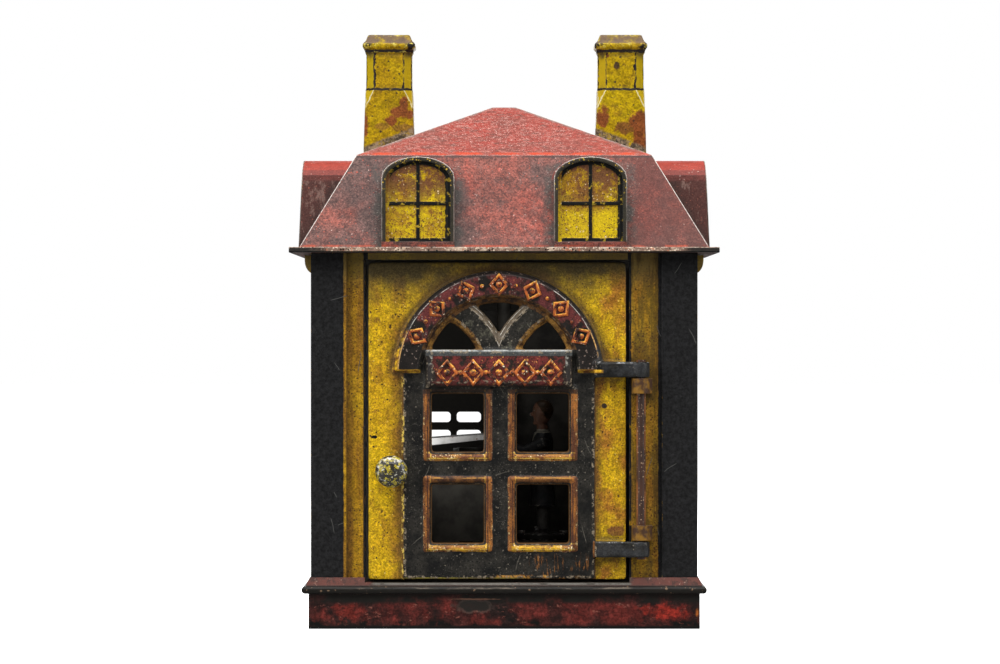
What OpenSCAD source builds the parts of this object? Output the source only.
// Cast iron mechanical bank in the form of a mansard-roofed bank house.
// A coin goes on the teller's tray while the door is held open. The door springs shut,
// a strap link turns the teller through the same angle, and the coin slides into the vault.
// Millimetres, +Z up, front of the house towards -Y, origin under the middle of the base.

/* [House] */
// Width of the walls over the corner pilasters
house_w = 107.8; // [104:0.2:116]
// Depth of the walls over the corner pilasters
house_d = 107.8; // [104:0.2:116]
// Height of the underside of the eave
eave_z = 104.8; // [104:0.2:110]
// Thickness of a wall casting
wall_t = 3; // [2.6:0.1:3.4]
// Width of a corner pilaster
pilaster_w = 9.9; // [8:0.1:11]
// How far pilasters stand proud of the wall field
relief = 1.5; // [1:0.1:2]

/* [Base] */
// Height of the door sill and of the floor inside
sill_z = 12.9; // [12.5:0.1:15]
// Thickness of the floor
floor_t = 2.4; // [2:0.1:3]
// How far the plinth stands out from the pilasters
plinth_out = 0.6; // [0.4:0.1:1.2]
// Wall of the hollow plinth
plinth_t = 3; // [2.5:0.1:4]
// How far the bead stands out from the pilasters
bead_out = 2.5; // [2:0.1:3]
// Radius of the bead round the base
bead_r = 1.05; // [0.8:0.05:1.2]
// Height of the weathering that rises from the sill to the wall foot
weathering_h = 1.4; // [1:0.1:2]
// Height of the recess under the bottom plate
plate_recess = 3; // [2.6:0.1:4]
// Thickness of the bottom plate
plate_t = 1.4; // [1:0.1:2]

/* [Roof] */
// Overhang of the eave beyond the pilasters
eave_out = 5.9; // [5:0.1:7]
// Thickness of the eave
eave_t = 1.5; // [1.2:0.1:2]
// How far the foot of the mansard stands out from the pilasters
foot_out = 3.1; // [2.6:0.1:3.6]
// Height of the steep mansard slope
mansard_h = 26.2; // [25:0.2:30]
// Horizontal run of the steep mansard slope
mansard_run = 15.4; // [14:0.2:17]
// Height of the shallow upper roof
cap_h = 15.2; // [13:0.2:18]
// Width of the flat summit
summit_w = 6.8; // [6:0.2:10]
// Thickness of the roof shell
roof_t = 2.4; // [2:0.1:3]
// Depth of the skirt that locates the roof inside the walls
skirt_h = 2; // [1.5:0.1:3]

/* [Dormers] */
// Width of a dormer
dormer_w = 20.3; // [18:0.1:22]
// Height of a dormer above the eave
dormer_h = 25.2; // [24:0.1:26]
// Rise of a dormer's arched top
dormer_rise = 5.9; // [4:0.1:8]
// Distance from the middle of a side to a dormer
dormer_x = 24; // [22:0.2:27]
// How far the foot of a dormer's face stands out from the pilasters
dormer_out = 4.3; // [3.8:0.1:5]
// Backward lean of a dormer's face in degrees
dormer_lean = 2.6; // [1:0.1:4]
// Thickness of the hood round a dormer window
hood_t = 1.1; // [0.8:0.1:1.4]
// Depth of the window behind the hood
hood_depth = 1.2; // [0.8:0.1:1.5]
// Width of the bars across a dormer window
dormer_bar = 1; // [0.8:0.1:1.4]

/* [Chimneys] */
// Height of a chimney's top above the standing surface
chimney_top_z = 168.6; // [165:0.1:175]
// Half the distance between the chimneys
chimney_x = 33.5; // [32:0.1:34]
// How far the pair of chimneys stands off the middle of the roof
chimneys_off = 0.25; // [-0.4:0.05:0.4]
// Width of a chimney's upper shaft
shaft_w = 13.2; // [12:0.1:14]
// Chamfer of the upper shaft's corners
shaft_chamfer = 2.4; // [1.8:0.1:3]
// Width of the flared foot of a chimney
chimney_foot_w = 15; // [14:0.1:15.4]
// Height of the joint between shaft and foot
chimney_joint_z = 152.8; // [151:0.1:156]
// Width of the moulding round a chimney's top
chimney_cap_w = 15.2; // [14.5:0.1:17]
// Radius of the tenon that holds a chimney in the roof
tenon_r = 3; // [2.5:0.1:3.5]

/* [Side windows] */
// Width of a blind window in a side wall
window_w = 17; // [15:0.2:19]
// Height of a blind window's sill
window_sill_z = 33; // [28:0.5:40]
// Height of one pane
window_pane_h = 8.6; // [8:0.1:9]
// Distance from the middle of a wall to a window
window_x = 23; // [21:0.2:25]
// Width of a glazing bar
window_bar = 1.6; // [1.2:0.1:2]

/* [Rear windows] */
// Width of a pierced rear window
rear_window_w = 16.4; // [15:0.2:18]
// Height of a pierced rear window
rear_window_h = 8.6; // [8:0.1:12]
// Height of the middle of a rear window
rear_window_z = 54.4; // [50:0.1:60]
// Distance from the middle of the wall to a rear window
rear_window_x = 15.1; // [13:0.1:20]

/* [Door] */
// Width of the door
door_w = 72.1; // [70:0.1:73]
// Height of the door
door_h = 88.7; // [87:0.1:89]
// Offset of the door's middle from the middle of the house
door_x = -1.95; // [-2.5:0.05:-1]
// Thickness of the door plate
door_t = 3.2; // [2.8:0.1:3.4]
// Gap round the door
door_gap = 0.8; // [0.6:0.05:1]
// Width of the raised field that carries the panes
field_w = 53.4; // [52:0.1:54]
// Height of the top of the raised field above the foot of the door
field_h = 57.8; // [57:0.1:59]
// Offset of the field and arch from the door's middle
field_x = 0.5; // [0:0.05:0.8]
// Width of one pane
pane_w = 14.5; // [13:0.1:15]
// Height of one pane
pane_h = 16.3; // [15:0.1:17]
// Width of the moulding round a pane
pane_trim = 2.2; // [1.8:0.1:2.4]
// Distance between the middles of neighbouring panes
pane_pitch_x = 23.7; // [23:0.1:24]
// Distance between the middles of the two rows of panes
pane_pitch_z = 25.4; // [24:0.1:26]
// Height of the middle of the lower row above the foot of the door
pane_z = 18.6; // [18:0.1:20]
// Outer radius of the arch over the fanlight
arch_r = 29.2; // [28.5:0.1:29.6]
// Width of the arch band
arch_band = 7.4; // [6.5:0.1:8]
// Radius of the fanlight
fanlight_r = 21.6; // [21:0.1:21.7]
// Distance from the middle of the fanlight to the centre of a rib's curve
rib_centre = 21.7; // [21.2:0.1:22.4]
// Outer radius of a rib's curve
rib_r = 23.3; // [22.8:0.1:23.8]
// Width of a rib
rib_w = 5; // [4:0.1:5.6]
// Width of the bevel round the openings of the fanlight
fan_bevel = 1.3; // [0.8:0.1:1.6]
// Height of the arch's centre above the foot of the door
arch_z = 57.2; // [56.5:0.1:58]
// Height of the middle of the bare sign plate above the foot of the door
plate_z = 59.2; // [58.8:0.1:59.6]
// Width of the bare sign plate under the fanlight
plate_w = 40.8; // [40:0.1:43]
// Height of the bare sign plate
plate_h = 10.4; // [9:0.1:11]

/* [Hinge] */
// Radius of the hinge pin
pin_r = 1.3; // [1.1:0.05:1.4]
// Outer radius of the hinge lugs
lug_r = 2.5; // [2.4:0.05:2.6]
// Distance from the edge of the door to the hinge axis
hinge_dx = 4; // [3.8:0.1:4.2]
// Distance of the hinge axis in front of the wall field
hinge_dy = 3.2; // [3.1:0.05:3.4]
// Height of the middle of the hinge above the foot of the door
hinge_mid = 33.8; // [32:0.1:36]
// Distance between the outer ends of the two frame lugs
frame_lugs_span = 45.1; // [43:0.1:47]
// Height of a frame lug
frame_lug_h = 4.2; // [3.6:0.1:5]
// Height of a door lug
door_lug_h = 4.4; // [3.6:0.1:5]
// Opening angle of the door in degrees
door_open = 95; // [90:1:95]

/* [Teller] */
// Distance of the teller's axis to the left of the hinge axis
teller_dx = 27.1; // [26.6:0.1:28]
// Distance of the teller's axis behind the hinge axis
teller_dy = 33.6; // [33:0.1:35]
// Distance of the crank pin to the left of the hinge axis
crank_dx = 18.2; // [17.6:0.1:18.6]
// Distance of the crank pin behind the hinge axis
crank_dy = 8.5; // [8.5:0.1:8.9]
// Radius of the link pins
link_pin_r = 1; // [0.8:0.05:1.1]
// Height of the underside of the turning lever above the floor
lever_rise = 5.7; // [5.6:0.1:6.2]
// Thickness of the lever and of the door's crank ear
lever_t = 1.8; // [1.6:0.1:2]
// Thickness of the link
link_t = 1.2; // [1:0.1:1.4]
// Radius of the post's spindle
spindle_r = 2; // [1.8:0.1:2.2]
// Radius of the disc under the teller
disc_r = 8; // [7.6:0.1:8.2]
// Reach of the coin tray from the teller's axis
tray_reach = 33; // [31:0.5:33]
// Length of the coin tray
tray_l = 21; // [20:0.5:21]
// Width of the coin tray
tray_w = 22; // [21:0.1:22.4]
// Height of the tray's rim at its outer end
tray_rim = 2; // [1.8:0.1:2.6]
// Slope of the tray towards its outer end in degrees
tray_tilt = 6; // [3:0.5:8]

/* [Spring] */
// Diameter of the return spring's wire
wire_d = 0.9; // [0.8:0.05:0.95]
// Mean radius of the return spring's coil
coil_r = 5.2; // [5:0.1:5.4]
// Number of turns of the return spring
coil_turns = 3.25; // [2.25:1:3.25]

/* [Vault] */
// Thickness of the vault screen
screen_t = 1.8; // [1.6:0.1:2.4]
// Height of the low walls of the vault above the floor
vault_h = 36; // [30:0.5:36]
// Height of the tall screen behind the teller above the floor
screen_h = 76; // [60:1:80]

/* [Hidden] */
$fn = 48;
eps = 0.01;
fit = 0.05;       // clearance of a fixed fit
run_fit = 0.1;    // radial clearance of a running fit
seat_gap = 0.3;   // axial clearance between moving faces

yellow = "gold";
black = "#23262b";
red = "#8f3a35";
iron = "#4d4a47";
steel = "#8d8a85";
brass = "#b49a55";

// House
field_y = house_d / 2 - relief;              // outer face of the front wall field, distance from the middle
wall_back_y = field_y - wall_t;
inner_w = house_w - 2 * (relief + wall_t);   // inside width between the side walls
inner_d = house_d - 2 * (relief + wall_t);
wall_h = eave_z - sill_z;
pocket = 0.15;                               // clearance round the walls in the base
sill_edge_r = 1.5;

// Base
bead_z = sill_z - bead_r - 1;                // middle of the bead
foot_z = sill_z + weathering_h;
plinth_w = house_w + 2 * plinth_out;
plinth_d = house_d + 2 * plinth_out;
plate_clear = 0.3;
tie_r = 2;
tie_head_r = 4.5;
tie_head_h = 1.8;
tie_boss_r = 4.6;
tie_boss_h = 12;
tie_top_gap = 3;                             // solid iron left over the screw in the roof's boss

// Roof
eave_top = eave_z + eave_t;
break_z = eave_top + mansard_h;
summit_z = break_z + cap_h;
foot_w = house_w + 2 * foot_out;
foot_d = house_d + 2 * foot_out;
break_w = foot_w - 2 * mansard_run;
break_d = foot_d - 2 * mansard_run;
cap_run = (min(break_w, break_d) - summit_w) / 2;
shell_in = roof_t * sqrt(mansard_h * mansard_h + mansard_run * mansard_run) / mansard_h;
cap_in = roof_t * sqrt(cap_h * cap_h + cap_run * cap_run) / cap_run;
skirt_t = 1.6;
skirt_gap = 0.2;
dormer_glass_depth = 0.3;
dormer_shell = 2;
dormer_sill = 1.6;
hip_slope = cap_h / cap_run;

// Chimneys
cap_drop = 4.3;                              // from the chimney's top to the underside of its moulding
cap_bevel_h = 2.1;
cap_round = 0.6;                             // bevel above and below the moulding's band
shaft_step = 0.2;                            // step between the shaft and the foot at their joint
groove_h = 0.5;
stop_h = 6;                                  // height of the chamfer stops under the joint
tenon_head_r = tenon_r + 1.4;
tenon_head_h = 1.3;

// Door, drawn in the row frame with the door shut
door_back = wall_back_y + seat_gap;
door_face = door_back + door_t;
door_z = sill_z + 0.5;
door_left = door_x - door_w / 2;
door_right = door_x + door_w / 2;
door_top = door_z + door_h;
door_edge_r = 1.5;
field_rise = 1.2;
trim_rise = 0.8;
arch_rise = 3.2;
arch_bevel = 1.1;
plate_rise = 4;
plate_bevel = 1.3;
plate_bar_r = 0.85;
centre_x = door_x + field_x;
arch_cut_z = door_z + arch_z + 1.2;          // foot of the arch band
fan_sill_z = plate_z + plate_h / 2 - arch_z; // foot of the fanlight above the arch's centre
stop_lip = 1.5;                              // overlap of the stop over the edge of the shut door
stop_w = 2;                                  // width of the stop behind the wall
stop_t = 1.6;

// Hinge
hinge_x = door_right + hinge_dx;
hinge_y = -(field_y + hinge_dy);
hinge_mid_z = door_z + hinge_mid;
frame_lug_top = hinge_mid_z + frame_lugs_span / 2;
frame_lug_foot = hinge_mid_z - frame_lugs_span / 2;
door_lug_top = frame_lug_top + seat_gap;
door_lug_foot = frame_lug_foot - seat_gap - door_lug_h;
strap_l = 13;

// Teller and linkage
teller_x = hinge_x - teller_dx;
teller_y = hinge_y + teller_dy;
crank_l = sqrt(crank_dx * crank_dx + crank_dy * crank_dy);
crank_a = 180 - atan(crank_dy / crank_dx);
link_l = sqrt(teller_dx * teller_dx + teller_dy * teller_dy);
link_a = 180 - atan(teller_dy / teller_dx);
eye_r = 2.4;
ear_r = 2.6;
link_w = 3.6;
lever_z = sill_z + lever_rise;
link_z = lever_z + lever_t + 0.2;
link_head_z = link_z + link_t + 0.1;
link_head_h = 0.6;
link_head_r = 1.8;
hub_r = 4.4;
disc_z = link_head_z + 0.3;
disc_t = 1.2;
post_r = 3.2;
post_head_h = 0.8;
post_tenon_r = 2.5;
post_rivet_r = 3.5;
post_rivet_h = 1;
figure_z = disc_z + disc_t;                  // foot of the teller's stand
stand_h = 2;
stand_recess_r = 3.6;
stand_recess_h = 1.1;
rivet_r = 0.8;
rivet_ring = 6;
tray_rise = 29.3;                            // height of the tray's inner edge above the foot of the stand
tray_t = 0.8;
tray_axis = tray_reach - tray_l;             // distance from the axis to the inner edge of the tray
hand_in = 1.8;                               // distance from the tray's inner edge to a hand's rivet
hand_x = 4.4;
stop_peg_r = 1.6;
stop_peg_at = 14;

// Spring
coil_pitch = 1.35;
leg_l = 7;
peg_at = 5.4;
spring_z = sill_z + 0.7;
upper_leg_a = crank_a - atan(peg_at / coil_r);
spring_peg_r = 0.8;
spring_peg_off = wire_d / 2 + spring_peg_r + 0.05;

// Vault
screen_x = teller_x - crank_l - eye_r - 1.5; // face of the vault wall beside the teller
vault_front_l = 14;                          // from the teller's axis forwards to the vault's front
vault_back_l = 28;                           // from the teller's axis backwards to the vault's back
screen_front_y = teller_y - vault_front_l;
screen_back_y = teller_y + vault_back_l;
screen_foot_w = 6;
screen_clear = 8.4;                          // from the disc's rim to the end of the front plate
screw_in = [6, 12, 10];                      // from the ends of the foot plates to their screws
screw_r = 1.1;
screw_head_r = 2.2;
screw_head_h = 1.2;

// Rotates a plan position to one of the four sides: 0 front, 1 right, 2 rear, 3 left
module on_side(side) {
    half = side % 2 == 0 ? house_d / 2 : house_w / 2;
    rotate([0, 0, 90 * side]) translate([0, -half, 0]) children();
}

// Box given by its lowest and highest corners
module box(low, high) {
    translate(low) cube(high - low);
}

// Frustum on a rectangular plan, centred on the axis
module taper(foot, top, height) {
    function ring(size, z) = [for (c = [[-1, -1], [1, -1], [1, 1], [-1, 1]])
        [c[0] * size[0] / 2, c[1] * size[1] / 2, z]];
    sides = [for (i = [0 : 3]) [i, i + 4, (i + 1) % 4 + 4, (i + 1) % 4]];
    polyhedron(points = concat(ring(foot, 0), ring(top, height)), faces = concat([[0, 1, 2, 3], [7, 6, 5, 4]], sides));
}

// Outline with an upright base, straight sides and an elliptical head
function arched(width, height, rise) = concat(
    [[-width / 2, 0], [width / 2, 0]],
    [for (a = [0 : 15 : 180]) [width / 2 * cos(a), height - rise + rise * sin(a)]]
);

// Plate in the XZ plane that grows towards -Y from the given distance
module upright(from_y, thickness) {
    translate([0, from_y, 0]) rotate([90, 0, 0]) linear_extrude(height = thickness) children();
}

// BASE
module base() {
    color(red) difference() {
        union() {
            box([-plinth_w / 2, -plinth_d / 2, 0], [plinth_w / 2, plinth_d / 2, bead_z]);
            base_bead();
            translate([0, 0, bead_z + bead_r - eps]) taper(
                [house_w + 2 * (bead_out - bead_r), house_d + 2 * (bead_out - bead_r)],
                [house_w + 0.6, house_d + 0.6], foot_z - bead_z - bead_r + eps);
        }
        wall_pocket();
        door_threshold();
        plinth_hollow();
        translate([0, 0, -eps]) cylinder(r = tie_r + 0.3, h = sill_z + 1);
        translate([teller_x, teller_y, 0]) cylinder(r = post_tenon_r + fit, h = sill_z + 1);
        for (p = screw_places()) translate([p[0], p[1], 0]) cylinder(r = screw_r + fit, h = sill_z + 1);
    }
    color(red) stop_peg();
    color(red) spring_floor_peg();
}

// Half-round bead with mitred corners
module base_bead() {
    w = house_w + 2 * bead_out;
    d = house_d + 2 * bead_out;
    translate([0, 0, bead_z]) intersection() {
        rotate([90, 0, 0]) linear_extrude(height = d + 2, center = true) half_rounds(w);
        rotate([90, 0, 90]) linear_extrude(height = w + 2, center = true) half_rounds(d);
    }
}

module half_rounds(width) {
    square([width - 2 * bead_r, 2 * bead_r], center = true);
    for (s = [-1, 1]) translate([s * (width / 2 - bead_r), 0]) circle(r = bead_r, $fn = 24);
}

// Sunk seat in the base that takes the feet of the four walls and is the floor inside them
module wall_pocket() {
    w = house_w / 2 + pocket;
    d = house_d / 2 + pocket;
    box([-w, -d, sill_z], [w, d, foot_z + 1]);
}

// The weathering is left out in front of the door, so that the door clears the sill
module door_threshold() {
    box([door_left - door_gap, -house_d, sill_z], [door_right + door_gap, -field_y, foot_z + 1]);
}

module plinth_hollow() {
    w = plinth_w / 2 - plinth_t;
    d = plinth_d / 2 - plinth_t;
    ledge = 2;
    box([-w, -d, -1], [w, d, plate_recess + plate_t]);
    box([-w + ledge, -d + ledge, -1], [w - ledge, d - ledge, sill_z - floor_t]);
}

// Peg that the lever meets when the door is fully open
module stop_peg() {
    a = crank_a + door_open;
    reach = lever_half_w() + stop_peg_r + seat_gap;
    x = teller_x + stop_peg_at * cos(a) - reach * sin(a);
    y = teller_y + stop_peg_at * sin(a) + reach * cos(a);
    translate([x, y, sill_z - eps]) cylinder(r = stop_peg_r, h = lever_rise + lever_t - seat_gap);
}

// Peg on the floor that holds the lower leg of the return spring
module spring_floor_peg() {
    a = upper_leg_a - 360 * coil_turns;
    reach = coil_r + spring_peg_off;
    x = teller_x + reach * cos(a) + peg_at * sin(a);
    y = teller_y + reach * sin(a) - peg_at * cos(a);
    translate([x, y, sill_z - eps]) cylinder(r = spring_peg_r, h = 2.6);
}

module bottom_plate() {
    w = plinth_w - 2 * plinth_t - 2 * plate_clear;
    d = plinth_d - 2 * plinth_t - 2 * plate_clear;
    color(iron) difference() {
        translate([-w / 2, -d / 2, plate_recess]) cube([w, d, plate_t]);
        translate([0, 0, plate_recess - 1]) cylinder(r = tie_r + 0.3, h = plate_t + 2);
    }
}

// Long screw from the bottom plate up into the boss under the roof's summit
module tie_screw() {
    top = summit_z - cap_in - tie_top_gap - 1;
    color(steel) difference() {
        union() {
            translate([0, 0, plate_recess - tie_head_h]) cylinder(r = tie_head_r, h = tie_head_h);
            translate([0, 0, plate_recess - eps]) cylinder(r = tie_r, h = top - plate_recess);
        }
        box([-tie_head_r - 1, -0.5, plate_recess - tie_head_h - 1],
            [tie_head_r + 1, 0.5, plate_recess - tie_head_h + 0.8]);
    }
}

// WALLS
module wall_plate(length) {
    translate([-length / 2, relief, sill_z]) cube([length, wall_t, wall_h]);
}

module pilasters(length) {
    strip = length / 2 - (house_w / 2 - pilaster_w);
    for (s = [-1, 1])
        translate([s * (length / 2 - strip / 2) - strip / 2, 0, sill_z]) cube([strip, relief + eps, wall_h]);
}

module front_wall() {
    color(yellow) difference() {
        on_side(0) union() {
            wall_plate(house_w);
            pilasters(house_w);
        }
        box([door_left - door_gap, -house_d, sill_z - 1],
            [door_right + door_gap, -house_d / 4, door_top + door_gap]);
    }
    color(yellow) door_stops();
    color(red) frame_lugs();
}

// Rebate behind the doorway that the shut door comes up to
module door_stops() {
    back = -wall_back_y;
    edge = door_left - door_gap;
    top = door_top + door_gap + 1;
    box([edge - stop_w, back - eps, sill_z], [door_left + stop_lip, back + stop_t, top]);
    box([edge - stop_w, back - eps, door_top - stop_lip], [door_right + door_gap + stop_w, back + stop_t, top]);
}

module frame_lugs() {
    for (z = [frame_lug_foot, frame_lug_top - frame_lug_h]) difference() {
        union() {
            translate([hinge_x, hinge_y, z]) cylinder(r = lug_r, h = frame_lug_h);
            box([hinge_x - lug_r, hinge_y, z], [hinge_x + lug_r + 0.6, -field_y + 0.5, z + frame_lug_h]);
        }
        translate([hinge_x, hinge_y, z - 1]) cylinder(r = pin_r + fit, h = frame_lug_h + 2);
    }
}

module hinge_pin() {
    foot = door_lug_foot - 0.5;
    top = door_lug_top + door_lug_h + 0.5;
    color(steel) translate([hinge_x, hinge_y, foot]) cylinder(r = pin_r, h = top - foot);
}

module rear_wall() {
    color(yellow) on_side(2) difference() {
        union() {
            wall_plate(house_w);
            pilasters(house_w);
            for (s = [-1, 1]) translate([s * rear_window_x, 0, 0]) rear_window_frame();
        }
        for (s = [-1, 1]) translate([s * rear_window_x, 0, 0]) rear_window_panes();
    }
}

// Raised frame with a sill round a pierced rear window
module rear_window_frame() {
    border = 2;
    w = rear_window_w / 2 + border;
    z0 = rear_window_z - rear_window_h / 2 - border;
    z1 = rear_window_z + rear_window_h / 2 + border;
    box([-w, relief - 0.9, z0], [w, relief + eps, z1]);
    box([-w - 1, relief - 1.3, z0 - 1.4], [w + 1, relief + eps, z0 + eps]);
}

// Four panes with rounded corners, which leave a cross between them
module rear_window_panes() {
    bar_v = 1.8;
    bar_h = 2.3;
    w = (rear_window_w - bar_v) / 2;
    h = (rear_window_h - bar_h) / 2;
    for (sx = [-1, 1], sz = [-1, 1])
        translate([sx * (w + bar_v) / 2, 0, rear_window_z + sz * (h + bar_h) / 2])
            upright(relief + wall_t + 1, wall_t + relief + 2) rounded(w, h, 1.1);
}

// Rectangle with rounded corners, made of true arcs
module rounded(w, h, r) {
    square([w - 2 * r, h], center = true);
    square([w, h - 2 * r], center = true);
    for (x = [-1, 1], y = [-1, 1]) translate([x * (w / 2 - r), y * (h / 2 - r)]) circle(r = r, $fn = 24);
}

module side_wall(side) {
    length = inner_d - 2 * fit;
    color(yellow) on_side(side) difference() {
        union() {
            wall_plate(length);
            side_pilasters(length);
            for (s = [-1, 1]) translate([s * window_x, 0, 0]) window_trim();
        }
        for (s = [-1, 1]) translate([s * window_x, 0, 0]) window_panes();
    }
}

// The strips of a side wall that complete the corner pilasters
module side_pilasters(length) {
    strip = length / 2 - (house_d / 2 - pilaster_w);
    for (s = [-1, 1])
        translate([s * (length / 2 - strip / 2) - strip / 2, 0, sill_z]) cube([strip, relief + eps, wall_h]);
}

window_rows = 5;
window_spring_z = window_sill_z + window_rows * (window_pane_h + window_bar);
window_r = window_w / 2;
hood_in = 1.2;
hood_w = 2;
hood_out = 0.3;                              // how far the hood stands out beyond the pilasters
key_out = 2.9;                               // how far the keystone stands out beyond the pilasters
key_z = eave_z - 5.6;

// Arched hood, jamb strips, sill and console keystone round a blind window
module window_trim() {
    r0 = window_r + hood_in;
    r1 = r0 + hood_w;
    upright(relief + eps, relief + hood_out) difference() {
        arch_outline(r1, window_sill_z, window_spring_z);
        arch_outline(r0, window_sill_z - 1, window_spring_z);
    }
    box([-r1 - 0.8, -0.5, window_sill_z - 2.4], [r1 + 0.8, relief + eps, window_sill_z + eps]);
    keystone();
}

// Upright outline with a half-round head
module arch_outline(r, foot_z, spring_z) {
    translate([0, spring_z]) circle(r = r);
    translate([-r, foot_z]) square([2 * r, spring_z - foot_z]);
}

module keystone() {
    h = eave_z - key_z - 0.2;
    profile = concat(
        [[relief + eps, -2.5], [relief - 1, -2.5]],
        [for (a = [0 : 15 : 90]) [-key_out * sin(a), h * (1 - cos(a)) * 0.7]],
        [[-key_out, h], [relief + eps, h]]
    );
    intersection() {
        translate([-4, 0, key_z]) rotate([90, 0, 90]) linear_extrude(height = 8) polygon(profile);
        upright(relief + 1, relief + key_out + 3) translate([0, key_z])
            polygon([[-1.7, -3], [1.7, -3], [2.7, h + 1], [-2.7, h + 1]]);
    }
}

// Shallow panes between the glazing bars of a blind window
module window_panes() {
    w = (window_w - window_bar) / 2;
    depth = 0.8;
    for (s = [-1, 1]) translate([s * (w + window_bar) / 2, 0, 0]) {
        for (i = [0 : window_rows - 1])
            translate([0, 0, window_sill_z + window_bar + i * (window_pane_h + window_bar) + window_pane_h / 2 - window_bar / 2])
                upright(relief + depth, depth + 0.2) square([w, window_pane_h], center = true);
    }
    for (s = [-1, 1]) upright(relief + depth, depth + 0.2) intersection() {
        translate([0, window_spring_z]) circle(r = window_r);
        translate([s * (w + window_bar) / 2 - w / 2, window_spring_z + window_bar / 2]) square([w, window_r]);
    }
}

// ROOF
module roof() {
    color(red) difference() {
        union() {
            box([-house_w / 2 - eave_out, -house_d / 2 - eave_out, eave_z],
                [house_w / 2 + eave_out, house_d / 2 + eave_out, eave_top]);
            roof_skirt();
            roof_outer();
            for (side = [0 : 3], s = [-1, 1]) on_side(side) translate([s * dormer_x, 0, 0]) dormer();
        }
        difference() {
            roof_hollow();
            translate([0, 0, summit_z - cap_in - tie_boss_h]) cylinder(r = tie_boss_r, h = tie_boss_h + 5);
        }
        for (side = [0 : 3], s = [-1, 1])
            on_side(side) translate([s * dormer_x, 0, 0]) dormer_hollow();
        translate([0, 0, eave_z]) cylinder(r = tie_r + fit, h = summit_z - cap_in - tie_top_gap - eave_z);
        for (s = [-1, 1]) translate([chimneys_off + s * chimney_x, 0, eave_z])
            cylinder(r = tenon_r + fit, h = summit_z);
    }
}

module roof_outer() {
    translate([0, 0, eave_top - eps]) taper([foot_w, foot_d], [break_w, break_d], mansard_h + eps);
    translate([0, 0, break_z - eps]) roof_cap();
}

module roof_cap() {
    taper([break_w, break_d], [break_w - 2 * cap_run, break_d - 2 * cap_run], cap_h + eps);
}

module roof_hollow() {
    w = inner_w - 2 * skirt_gap - 2 * skirt_t;
    d = inner_d - 2 * skirt_gap - 2 * skirt_t;
    top_w = break_w - 2 * shell_in;
    top_d = break_d - 2 * shell_in;
    run = min(top_w, top_d) / 2 - 1;
    box([-w / 2, -d / 2, eave_z - skirt_h - 1], [w / 2, d / 2, eave_top + eps]);
    translate([0, 0, eave_top]) taper([foot_w - 2 * shell_in, foot_d - 2 * shell_in], [top_w, top_d],
        break_z - cap_in - eave_top + eps);
    translate([0, 0, break_z - cap_in]) taper([top_w, top_d], [top_w - 2 * run, top_d - 2 * run], run * hip_slope);
}

// Rim under the eave that sits inside the tops of the walls, left out over the doorway's stop
module roof_skirt() {
    w = inner_w / 2 - skirt_gap;
    d = inner_d / 2 - skirt_gap;
    difference() {
        box([-w, -d, eave_z - skirt_h], [w, d, eave_z + eps]);
        box([door_left - door_gap - stop_w - 0.5, -d - 1, eave_z - skirt_h - 1],
            [door_right + door_gap + stop_w + 0.5, -d + skirt_t + 1, eave_z - eps]);
    }
}

// Arched dormer with a leaning face and a sunk window of four panes
module dormer() {
    difference() {
        upright(mansard_run + foot_out, mansard_run + foot_out + dormer_out) translate([0, eave_top - eps])
            polygon(arched(dormer_w, dormer_h, dormer_rise));
        translate([0, -dormer_out, eave_top]) rotate([-dormer_lean, 0, 0]) dormer_face_cuts();
    }
}

// Everything in front of the leaning face, the recess under the hood and the panes
module dormer_face_cuts() {
    inner_w = dormer_w - 2 * hood_t;
    inner_h = dormer_h - hood_t - dormer_sill;
    pane_in = 1;
    box([-dormer_w, -5, -1], [dormer_w, 0, dormer_h + 5]);
    upright(hood_depth, hood_depth + 5) translate([0, dormer_sill])
        polygon(arched(inner_w, inner_h, dormer_rise - hood_t / 2));
    upright(hood_depth + dormer_glass_depth, hood_depth + 5) intersection() {
        translate([0, dormer_sill + pane_in])
            polygon(arched(inner_w - 2 * pane_in, inner_h - 2 * pane_in, dormer_rise - hood_t));
        for (sx = [-1, 1], z = [-dormer_w, inner_h / 2 + 1 + dormer_bar / 2])
            translate([sx * (dormer_bar / 2 + dormer_w / 2) - dormer_w / 2, z])
                square([dormer_w, dormer_w + inner_h / 2 + 1 - dormer_bar / 2]);
    }
}

// Cavity behind a dormer's window, open to the inside of the roof
module dormer_hollow() {
    face = hood_depth + dormer_glass_depth + dormer_shell - dormer_out + 1;
    upright(mansard_run + foot_out + 3, mansard_run + foot_out + 3 - face) translate([0, eave_top])
        polygon(arched(dormer_w - 2 * dormer_shell, dormer_h - dormer_shell, dormer_rise - 1));
}

// CHIMNEYS
// A chimney with its axis at the origin, which stands the given distance to the right of the middle
module chimney(from_middle) {
    foot_z0 = break_z - 3;
    head_z = break_z - cap_in - fit;
    color(yellow) difference() {
        union() {
            translate([0, 0, foot_z0]) taper([chimney_foot_w, chimney_foot_w],
                [shaft_w + 2 * shaft_step, shaft_w + 2 * shaft_step], chimney_joint_z - foot_z0);
            translate([0, 0, chimney_joint_z - eps]) chimney_shaft();
            chimney_moulding();
        }
        chamfer_stops();
        translate([0, 0, chimney_joint_z]) chimney_groove();
        translate([-from_middle, 0, break_z]) roof_cap();
        box([-20, -20, 0], [20, 20, break_z + eps]);
    }
    color(yellow) {
        translate([0, 0, head_z]) cylinder(r = tenon_r, h = chimney_joint_z - head_z - 5);
        translate([0, 0, head_z - tenon_head_h]) cylinder(r = tenon_head_r, h = tenon_head_h + eps);
    }
}

function octagon(w, c) = [
    [-w / 2 + c, -w / 2], [w / 2 - c, -w / 2], [w / 2, -w / 2 + c], [w / 2, w / 2 - c],
    [w / 2 - c, w / 2], [-w / 2 + c, w / 2], [-w / 2, w / 2 - c], [-w / 2, -w / 2 + c]
];

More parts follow.
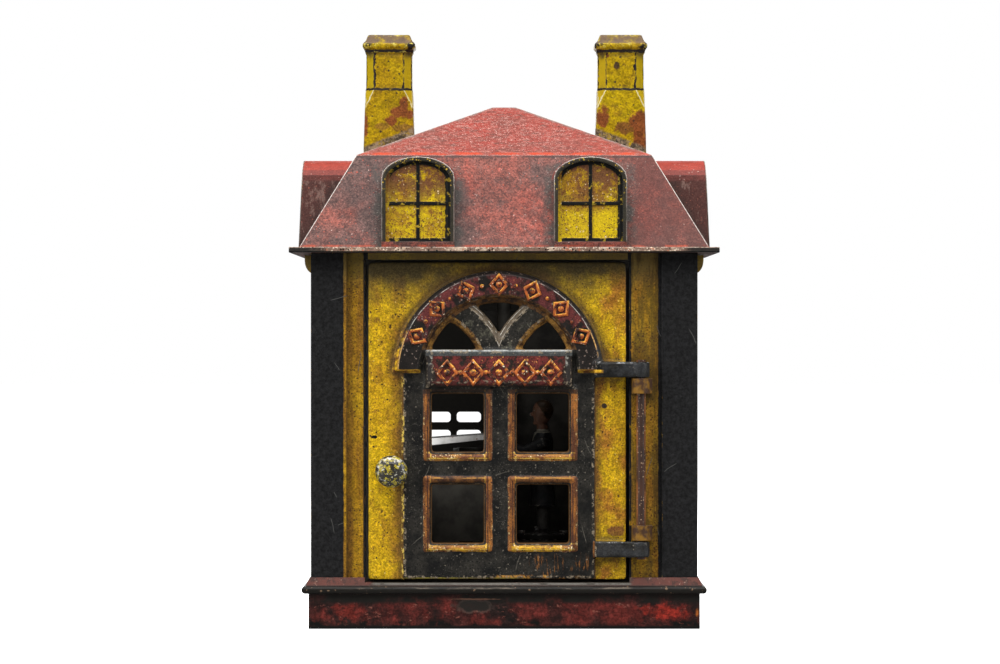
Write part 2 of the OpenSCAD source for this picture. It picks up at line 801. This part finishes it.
module chimney_shaft() {
    linear_extrude(height = chimney_top_z - cap_drop - chimney_joint_z + 1) polygon(octagon(shaft_w, shaft_chamfer));
}

// Fillet under the moulding, the moulding itself and the bevelled top with its flue
module chimney_moulding() {
    z = chimney_top_z - cap_drop;
    c = shaft_chamfer;
    translate([0, 0, z - 0.9]) linear_extrude(height = 1) polygon(octagon(shaft_w + 0.8, c));
    outer = [chimney_cap_w, chimney_cap_w];
    inner = [chimney_cap_w - 2 * cap_round, chimney_cap_w - 2 * cap_round];
    band = cap_drop - cap_bevel_h - 2 * cap_round;
    translate([0, 0, z]) taper(inner, outer, cap_round);
    translate([0, 0, z + cap_round - eps]) linear_extrude(height = band + 2 * eps) square(outer, center = true);
    translate([0, 0, z + cap_round + band]) taper(outer, inner, cap_round);
    translate([0, 0, z + cap_drop - cap_bevel_h - eps]) taper([chimney_cap_w - 1.6, chimney_cap_w - 1.6],
        [chimney_cap_w - 3.2, chimney_cap_w - 3.2], cap_bevel_h + eps);
}

module chimney_groove() {
    difference() {
        linear_extrude(height = groove_h) square(2 * shaft_w, center = true);
        translate([0, 0, -1]) linear_extrude(height = groove_h + 2) polygon(octagon(shaft_w - 0.8, shaft_chamfer));
    }
}

// The chamfers of the shaft run out on the corners of the foot
module chamfer_stops() {
    top = shaft_w / 2 + shaft_step;
    c = shaft_chamfer + shaft_step;
    for (a = [45 : 90 : 315]) rotate([0, 0, a]) {
        reach = top * sqrt(2);
        cut = c / sqrt(2);
        translate([reach - cut, 0, chimney_joint_z]) rotate([0, -atan((cut + 0.4) / stop_h), 0])
            translate([0, -10, -stop_h - 4]) cube([10, 20, stop_h + 4 + groove_h]);
    }
}

// VAULT
screen_end_x = teller_x - disc_r - screen_clear; // right-hand end of the plate in front of the vault
function screw_places() = [
    [screen_end_x + screw_in[0], screen_back_y + screen_t + screen_foot_w / 2],
    [inner_w / 2 - screw_in[1], screen_back_y + screen_t + screen_foot_w / 2],
    [-inner_w / 2 + screw_in[2], screen_front_y + screen_t + screen_foot_w / 2],
];

// Low walls round the vault beside the teller and a tall screen behind the teller
module vault_screen() {
    side = inner_w / 2 - seat_gap;
    left = screen_x - screen_t;
    foot = sill_z;
    color(iron) difference() {
        union() {
            box([left, screen_front_y, foot], [screen_x, screen_back_y + eps, foot + vault_h]);
            box([-side, screen_front_y, foot], [screen_end_x, screen_front_y + screen_t, foot + vault_h]);
            box([left, screen_back_y, foot], [side, screen_back_y + screen_t, foot + vault_h]);
            box([screen_end_x, screen_back_y, foot], [side, screen_back_y + screen_t, foot + screen_h]);
            box([screen_end_x, screen_back_y, foot],
                [side, screen_back_y + screen_t + screen_foot_w, foot + screen_t]);
            box([-side, screen_front_y, foot],
                [screen_x, screen_front_y + screen_t + screen_foot_w, foot + screen_t]);
        }
        lever_notch();
        for (p = screw_places()) translate([p[0], p[1], foot - 1]) cylinder(r = screw_r + fit, h = screen_t + 2);
    }
}

// Room under the front plate for the lever and the link
module lever_notch() {
    box([screen_x - eps, screen_front_y - 1, sill_z - 1],
        [screen_end_x + 1, screen_front_y + screen_t + 1, link_head_z + link_head_h + 1]);
}

module screen_screws() {
    color(steel) for (p = screw_places()) translate([p[0], p[1], 0]) difference() {
        union() {
            translate([0, 0, sill_z - floor_t - 1]) cylinder(r = screw_r, h = floor_t + screen_t + 1 + eps);
            translate([0, 0, sill_z + screen_t]) cylinder(r = screw_head_r, h = screw_head_h);
        }
        translate([0, 0, sill_z + screen_t + screw_head_h]) cube([2 * screw_head_r + 1, 0.6, 1], center = true);
    }
}

// DOOR
module door() {
    color(black) difference() {
        union() {
            door_plate();
            raised_field();
            arch_band();
            pane_trims();
        }
        pane_openings();
        fanlight_openings();
        translate([knob_x, 0, knob_z]) rotate([90, 0, 0]) cylinder(r = knob_shank_r + fit, h = house_d);
    }
    color(black) sign_plate();
    color(black) door_lugs();
    color(iron) crank_ear();
}

// Plate with rounded corners
module door_plate() {
    upright(-door_back, door_t) translate([door_x, door_z + door_h / 2]) rounded(door_w, door_h, door_edge_r);
}

// Flat field that carries the panes, and its continuation under the arch
module raised_field() {
    upright(-door_face + eps, field_rise) {
        translate([centre_x - field_w / 2, door_z + 0.4]) square([field_w, field_h]);
        translate([centre_x, door_z + arch_z]) circle(r = arch_r - arch_band + 1, $fn = 96);
    }
}

// Half ring over the fanlight, bevelled on both edges
module arch_band() {
    translate([centre_x, -door_face + eps, door_z + arch_z]) rotate([90, 0, 0]) difference() {
        union() {
            cylinder(r = arch_r, h = arch_rise - arch_bevel, $fn = 96);
            translate([0, 0, arch_rise - arch_bevel - eps])
                cylinder(r1 = arch_r, r2 = arch_r - arch_bevel, h = arch_bevel, $fn = 96);
        }
        translate([0, 0, -1]) cylinder(r = arch_r - arch_band, h = arch_rise + 2, $fn = 96);
        translate([0, 0, arch_rise - arch_bevel])
            cylinder(r1 = arch_r - arch_band, r2 = arch_r - arch_band + arch_bevel, h = arch_bevel + eps, $fn = 96);
        translate([-arch_r - 1, -2 * arch_r + 1.2, -1]) cube([2 * arch_r + 2, 2 * arch_r, arch_rise + 2]);
    }
}

module pane_places() {
    for (x = [-0.5, 0.5], z = [0, 1])
        translate([centre_x + 0.35 + x * pane_pitch_x, 0, door_z + pane_z + z * pane_pitch_z]) children();
}

module pane_trims() {
    w = pane_w + 2 * pane_trim;
    h = pane_h + 2 * pane_trim;
    pane_places() translate([0, -door_face - field_rise + eps, 0]) rotate([90, 0, 0])
        taper([w, h], [w - 0.6, h - 0.6], trim_rise);
}

// Pane openings, with the moulding dished towards the glass line
module pane_openings() {
    dish = 1.3;
    pane_places() {
        upright(0, house_d) square([pane_w, pane_h], center = true);
        translate([0, -door_face - field_rise - trim_rise + dish, 0]) rotate([90, 0, 0])
            taper([pane_w, pane_h], [pane_w + 2 * dish, pane_h + 2 * dish], dish + eps);
    }
}

// Fanlight of a V and two curved triangles, parted by two crossing ribs, with bevelled edges
module fanlight_openings() {
    face = door_face + field_rise;
    translate([centre_x, 0, door_z + arch_z]) rotate([90, 0, 0]) {
        fanlight_shapes(fan_bevel, fan_bevel, face + 5);
        translate([0, 0, face - fan_bevel]) fanlight_shapes(fan_bevel, 0, fan_bevel + eps);
    }
}

// The openings as cutters, drawn in by inset at the back and by front_inset at the front
module fanlight_shapes(inset, front_inset, height) {
    module disc(x, r, sign) {
        translate([x, 0, 0]) cylinder(r1 = r - sign * inset, r2 = r - sign * front_inset, h = height, $fn = 96);
    }
    difference() {
        disc(0, fanlight_r, 1);
        for (s = [-1, 1]) disc(s * rib_centre, rib_r, -1);
        translate([-fanlight_r - 1, -2 * fanlight_r, -1]) cube([2 * fanlight_r + 2, 2 * fanlight_r, height + 2]);
    }
    for (s = [-1, 1]) intersection() {
        disc(0, fanlight_r, 1);
        disc(s * rib_centre, rib_r - rib_w, 1);
        translate([-fanlight_r - 1, fan_sill_z, -1]) cube([2 * fanlight_r + 2, fanlight_r, height + 2]);
    }
}

// Bevelled sign plate, left bare, under a round bar that is the sill of the fanlight
module sign_plate() {
    translate([centre_x, -door_face + eps, door_z + plate_z]) rotate([90, 0, 0]) {
        linear_extrude(height = plate_rise - plate_bevel) square([plate_w, plate_h], center = true);
        translate([0, 0, plate_rise - plate_bevel - eps])
            taper([plate_w, plate_h], [plate_w - 2 * plate_bevel - 1.2, plate_h - 2 * plate_bevel], plate_bevel + eps);
        translate([-plate_w / 2 + plate_bar_r, plate_h / 2 - plate_bar_r, plate_rise - plate_bar_r + 0.3])
            rotate([0, 90, 0]) cylinder(r = plate_bar_r, h = plate_w - 2 * plate_bar_r);
    }
}

// Straps that run from the raised field to the hinge barrels
module door_lugs() {
    for (z = [door_lug_foot, door_lug_top]) difference() {
        union() {
            translate([hinge_x, hinge_y, z]) cylinder(r = lug_r - 0.1, h = door_lug_h);
            box([hinge_x - strap_l, hinge_y - 1.5, z], [hinge_x, hinge_y + 1.5, z + door_lug_h]);
            box([hinge_x - strap_l, hinge_y, z], [door_right - 0.5, -door_face + eps, z + door_lug_h]);
        }
        translate([hinge_x, hinge_y, z - 1]) cylinder(r = pin_r + run_fit, h = door_lug_h + 2);
    }
}

// Ear on the back of the door that drives the link
module crank_ear() {
    x = hinge_x - crank_dx;
    y = hinge_y + crank_dy;
    difference() {
        union() {
            translate([x, y, lever_z]) cylinder(r = ear_r, h = lever_t);
            box([x - ear_r, -door_back - 0.5, lever_z], [x + ear_r, y, lever_z + lever_t]);
        }
        translate([x, y, lever_z - 1]) cylinder(r = link_pin_r + fit, h = lever_t + 2);
    }
}

knob_x = door_left + 6.6;
knob_z = door_z + 30.5;
knob_r = 4.5;
knob_depth = 5.2;
knob_neck = 1.5;
knob_shank_r = 1.5;

// Turned knob whose shank is peened over behind the door
module door_knob() {
    back = door_t + 0.8;
    profile = concat(
        [[0, -back], [knob_shank_r + 0.9, -back], [knob_shank_r + 0.9, -door_t], [knob_shank_r, -door_t],
         [knob_shank_r, 0], [2.4, 0], [2.1, knob_neck * 0.6]],
        [for (a = [-60 : 15 : 90]) [knob_r * cos(a), knob_neck + knob_depth / 2 * (1 + sin(a))]]
    );
    color(brass) translate([knob_x, -door_face, knob_z]) rotate([90, 0, 0])
        rotate_extrude() polygon(profile);
}

// LINKAGE
module link_pin(x, y) {
    color(steel) translate([x, y, 0]) {
        translate([0, 0, lever_z - 0.6]) cylinder(r = link_head_r, h = 0.6);
        translate([0, 0, lever_z - eps]) cylinder(r = link_pin_r, h = link_head_z - lever_z + 2 * eps);
        translate([0, 0, link_head_z]) cylinder(r = link_head_r, h = link_head_h);
    }
}

module door_link_pin() {
    link_pin(hinge_x - crank_dx, hinge_y + crank_dy);
}

module teller_link_pin() {
    link_pin(teller_x - crank_dx, teller_y + crank_dy);
}

// Flat strap whose two eyes lie as far apart as the hinge and the teller's post
module link() {
    color(steel) translate([hinge_x - crank_dx, hinge_y + crank_dy, link_z]) rotate([0, 0, link_a]) difference() {
        union() {
            translate([0, -link_w / 2, 0]) cube([link_l, link_w, link_t]);
            for (x = [0, link_l]) translate([x, 0, 0]) cylinder(r = eye_r, h = link_t);
        }
        for (x = [0, link_l]) translate([x, 0, -1]) cylinder(r = link_pin_r + run_fit, h = link_t + 2);
    }
}

function lever_half_w() = 2.4;

// Lever, hub and disc in one casting
module turntable() {
    color(iron) translate([teller_x, teller_y, 0]) difference() {
        union() {
            translate([0, 0, lever_z]) {
                rotate([0, 0, crank_a]) {
                    translate([0, -lever_half_w(), 0]) cube([crank_l, 2 * lever_half_w(), lever_t]);
                    translate([crank_l, 0, 0]) cylinder(r = lever_half_w(), h = lever_t);
                }
                cylinder(r = hub_r, h = disc_z - lever_z + eps);
                rotate([0, 0, upper_leg_a]) translate([coil_r + spring_peg_off, peg_at, -1.9])
                    cylinder(r = spring_peg_r, h = 1.9 + eps);
            }
            translate([0, 0, disc_z]) cylinder(r = disc_r, h = disc_t);
        }
        translate([0, 0, lever_z - 1]) cylinder(r = spindle_r + run_fit, h = disc_z + disc_t - lever_z + 2);
        translate([crank_l * cos(crank_a), crank_l * sin(crank_a), lever_z - 1])
            cylinder(r = link_pin_r + fit, h = lever_t + 2);
        teller_rivet_places() translate([0, 0, disc_z - 1]) cylinder(r = rivet_r + fit, h = disc_t + 2);
    }
}

// Shouldered post, headed over the disc and riveted under the floor
module teller_post() {
    color(steel) translate([teller_x, teller_y, 0]) {
        translate([0, 0, sill_z - floor_t - post_rivet_h]) cylinder(r = post_rivet_r, h = post_rivet_h);
        translate([0, 0, sill_z - floor_t - eps]) cylinder(r = post_tenon_r, h = floor_t + 2 * eps);
        translate([0, 0, sill_z]) cylinder(r = post_r, h = lever_rise - run_fit);
        translate([0, 0, lever_z - run_fit - eps]) cylinder(r = spindle_r, h = disc_z + disc_t - lever_z + 2 * run_fit + eps);
        translate([0, 0, disc_z + disc_t + run_fit]) cylinder(r = post_r, h = post_head_h);
    }
}

// Path of the torsion spring: lower leg, coil and upper leg
coil_start = upper_leg_a - 360 * coil_turns;
coil_steps = ceil(coil_turns * 16);
function coil_point(a, z) = [coil_r * cos(a), coil_r * sin(a), z];
function along(a) = [-sin(a), cos(a), 0];
spring_path = concat(
    [coil_point(coil_start, spring_z) - leg_l * along(coil_start), coil_point(coil_start, spring_z) - 1.2 * along(coil_start)],
    [for (i = [0 : coil_steps]) coil_point(coil_start + 360 * coil_turns * i / coil_steps,
        spring_z + coil_pitch * coil_turns * i / coil_steps)],
    [coil_point(upper_leg_a, spring_z + coil_pitch * coil_turns) + 1.2 * along(upper_leg_a),
     coil_point(upper_leg_a, spring_z + coil_pitch * coil_turns) + leg_l * along(upper_leg_a)]
);

// Round tube along level-lying points
module tube(path, r, sides) {
    n = len(path);
    function tangent(i) = let (d = path[min(i + 1, n - 1)] - path[max(i - 1, 0)]) d / norm(d);
    points = [for (i = [0 : n - 1]) let (t = tangent(i), u = cross(t, [0, 0, 1]) / norm(cross(t, [0, 0, 1])), v = cross(u, t))
        for (k = [0 : sides - 1]) path[i] + r * (cos(360 * k / sides) * u + sin(360 * k / sides) * v)];
    walls = [for (i = [0 : n - 2], k = [0 : sides - 1]) let (a = i * sides + k, b = i * sides + (k + 1) % sides)
        each [[a, b, b + sides], [a, b + sides, a + sides]]];
    foot = [for (k = [1 : sides - 2]) [0, k + 1, k]];
    top = [for (k = [1 : sides - 2]) [(n - 1) * sides, (n - 1) * sides + k, (n - 1) * sides + k + 1]];
    polyhedron(points = points, faces = concat(walls, foot, top), convexity = 6);
}

module return_spring() {
    echo(least_gap_between_turns = coil_pitch - wire_d);
    color(steel) translate([teller_x, teller_y, 0]) tube(spring_path, wire_d / 2, 8);
}

// TELLER
module teller_rivet_places() {
    for (a = [0, 180]) rotate([0, 0, a]) translate([rivet_ring, 0, 0]) children();
}

// Seen from above, the teller faces -X with the door shut
module teller_frame() {
    translate([teller_x, teller_y, figure_z]) rotate([0, 0, -90]) children();
}

// The figure's own measures are in parts of this length, so that it grows with its tray
figure_unit = tray_rise / 29.3;

module slab(w, d, z) {
    u = figure_unit;
    translate([0, 0, z * u]) linear_extrude(height = 0.4 * u) resize([w * u, d * u]) circle(r = d * u / 2, $fn = 28);
}

module limb(a, b, ra, rb) {
    hull() {
        translate(a * figure_unit) sphere(r = ra * figure_unit, $fn = 16);
        translate(b * figure_unit) sphere(r = rb * figure_unit, $fn = 16);
    }
}

// Figure in a frock coat, both arms held out under the tray
module teller() {
    u = figure_unit;
    hand = [hand_x, -tray_axis - hand_in, tray_rise - 0.9 * u] / u;
    color(black) teller_frame() difference() {
        union() {
            cylinder(r = disc_r - 0.6, h = stand_h);
            for (s = [-1, 1]) translate([s * 1.9 * u, 0, stand_h - eps]) teller_leg();
            hull() {
                slab(9.4, 7.6, 9.5);
                slab(7.4, 5.8, 19);
            }
            hull() {
                slab(7.4, 5.6, 19);
                slab(10, 6, 28);
                slab(6.6, 4.6, 30.4);
            }
            for (s = [-1, 1]) {
                limb([s * 5, 0, 27.6], [s * 5.5, -5.2, 25.2], 1.75, 1.5);
                limb([s * 5.5, -5.2, 25.2], [s * hand[0], hand[1], hand[2]], 1.5, 1.15);
            }
            translate([0, 0, 30 * u]) cylinder(r = 1.7 * u, h = 3 * u);
            teller_head();
        }
        translate([0, 0, -1]) cylinder(r = stand_recess_r, h = stand_recess_h + 1);
        rotate([0, 0, 90]) teller_rivet_places() translate([0, 0, -1]) cylinder(r = rivet_r + fit, h = stand_h + 2);
        tray_frame() {
            translate([-tray_w, -tray_l, 0]) cube([2 * tray_w, tray_l, 5]);
            tray_rivet_places() translate([0, 0, -hand_rivet_l - 1]) cylinder(r = tray_rivet_r + fit, h = hand_rivet_l + 2);
        }
    }
}

// Trouser leg over a shoe
module teller_leg() {
    cylinder(r1 = leg_r - 0.4, r2 = leg_r, h = leg_h);
    translate([0, -shoe_r, shoe_r / 2]) rotate([90, 0, 0]) cylinder(r = shoe_r, h = 2 * shoe_r, center = true);
}

module teller_head() {
    hull() {
        translate([0, 0.2 * figure_unit, head_z]) sphere(r = head_r, $fn = 20);
        translate([0, jaw_r - 2.5 * figure_unit, jaw_z]) sphere(r = jaw_r, $fn = 16);
    }
    translate([0, 0.2 * figure_unit - nose_r - 0.93 * head_r, head_z - 2 * nose_r]) sphere(r = nose_r, $fn = 13);
}

module teller_rivets() {
    color(steel) translate([teller_x, teller_y, 0]) teller_rivet_places() {
        translate([0, 0, disc_z]) cylinder(r = rivet_r, h = disc_t + stand_h + eps);
        translate([0, 0, figure_z + stand_h]) cylinder(r = 1.2, h = 0.6);
    }
}

// Sloping frame of the tray, from its inner edge outwards along -Y
module tray_frame() {
    translate([0, -tray_axis, tray_rise]) rotate([tray_tilt, 0, 0]) children();
}

tray_rivet_r = 0.5;
hand_rivet_l = 1.2;
leg_r = 1.9;
leg_h = 12;
shoe_r = 1.2;
head_r = 3;
head_z = 37;
jaw_r = 2;
jaw_z = 34.2;
nose_r = 0.6;

module tray_rivet_places() {
    for (s = [-1, 1]) translate([s * hand_x, -hand_in, 0]) children();
}

// Sloping tray with a rim on three sides, open at the outer end where the coin slides off
module coin_tray() {
    inner_rim = tray_t + 0.5;
    color(steel) teller_frame() tray_frame() difference() {
        tray_side(0, tray_w, 0, tray_rim, inner_rim);
        translate([0, -tray_t, 0]) tray_side(1, tray_w - 2 * tray_t, tray_t, tray_rim + 2, inner_rim + 2);
        tray_rivet_places() translate([0, 0, -1]) cylinder(r = tray_rivet_r + fit, h = 5);
    }
}

// Prism of the tray's side outline
module tray_side(beyond, width, foot, outer_h, inner_h) {
    rotate([90, 0, 90]) linear_extrude(height = width, center = true)
        polygon([[0, foot], [0, inner_h], [-tray_l - beyond, outer_h], [-tray_l - beyond, foot]]);
}

module tray_rivets() {
    color(brass) teller_frame() tray_frame() tray_rivet_places() {
        translate([0, 0, -hand_rivet_l]) cylinder(r = tray_rivet_r, h = hand_rivet_l + tray_t + eps);
        translate([0, 0, tray_t]) cylinder(r = 0.9, h = 0.5);
    }
}

base();
bottom_plate();
tie_screw();
front_wall();
rear_wall();
side_wall(3);  // left_wall
side_wall(1);  // right_wall
roof();
translate([chimneys_off - chimney_x, 0, 0]) mirror([1, 0, 0])  // left_chimney
    chimney(chimney_x - chimneys_off);
translate([chimneys_off + chimney_x, 0, 0])  // right_chimney
    chimney(chimney_x + chimneys_off);
hinge_pin();
vault_screen();
screen_screws();
teller_post();
return_spring();
door();
door_knob();
door_link_pin();
link();
turntable();
teller_link_pin();
teller();
teller_rivets();
coin_tray();
tray_rivets();
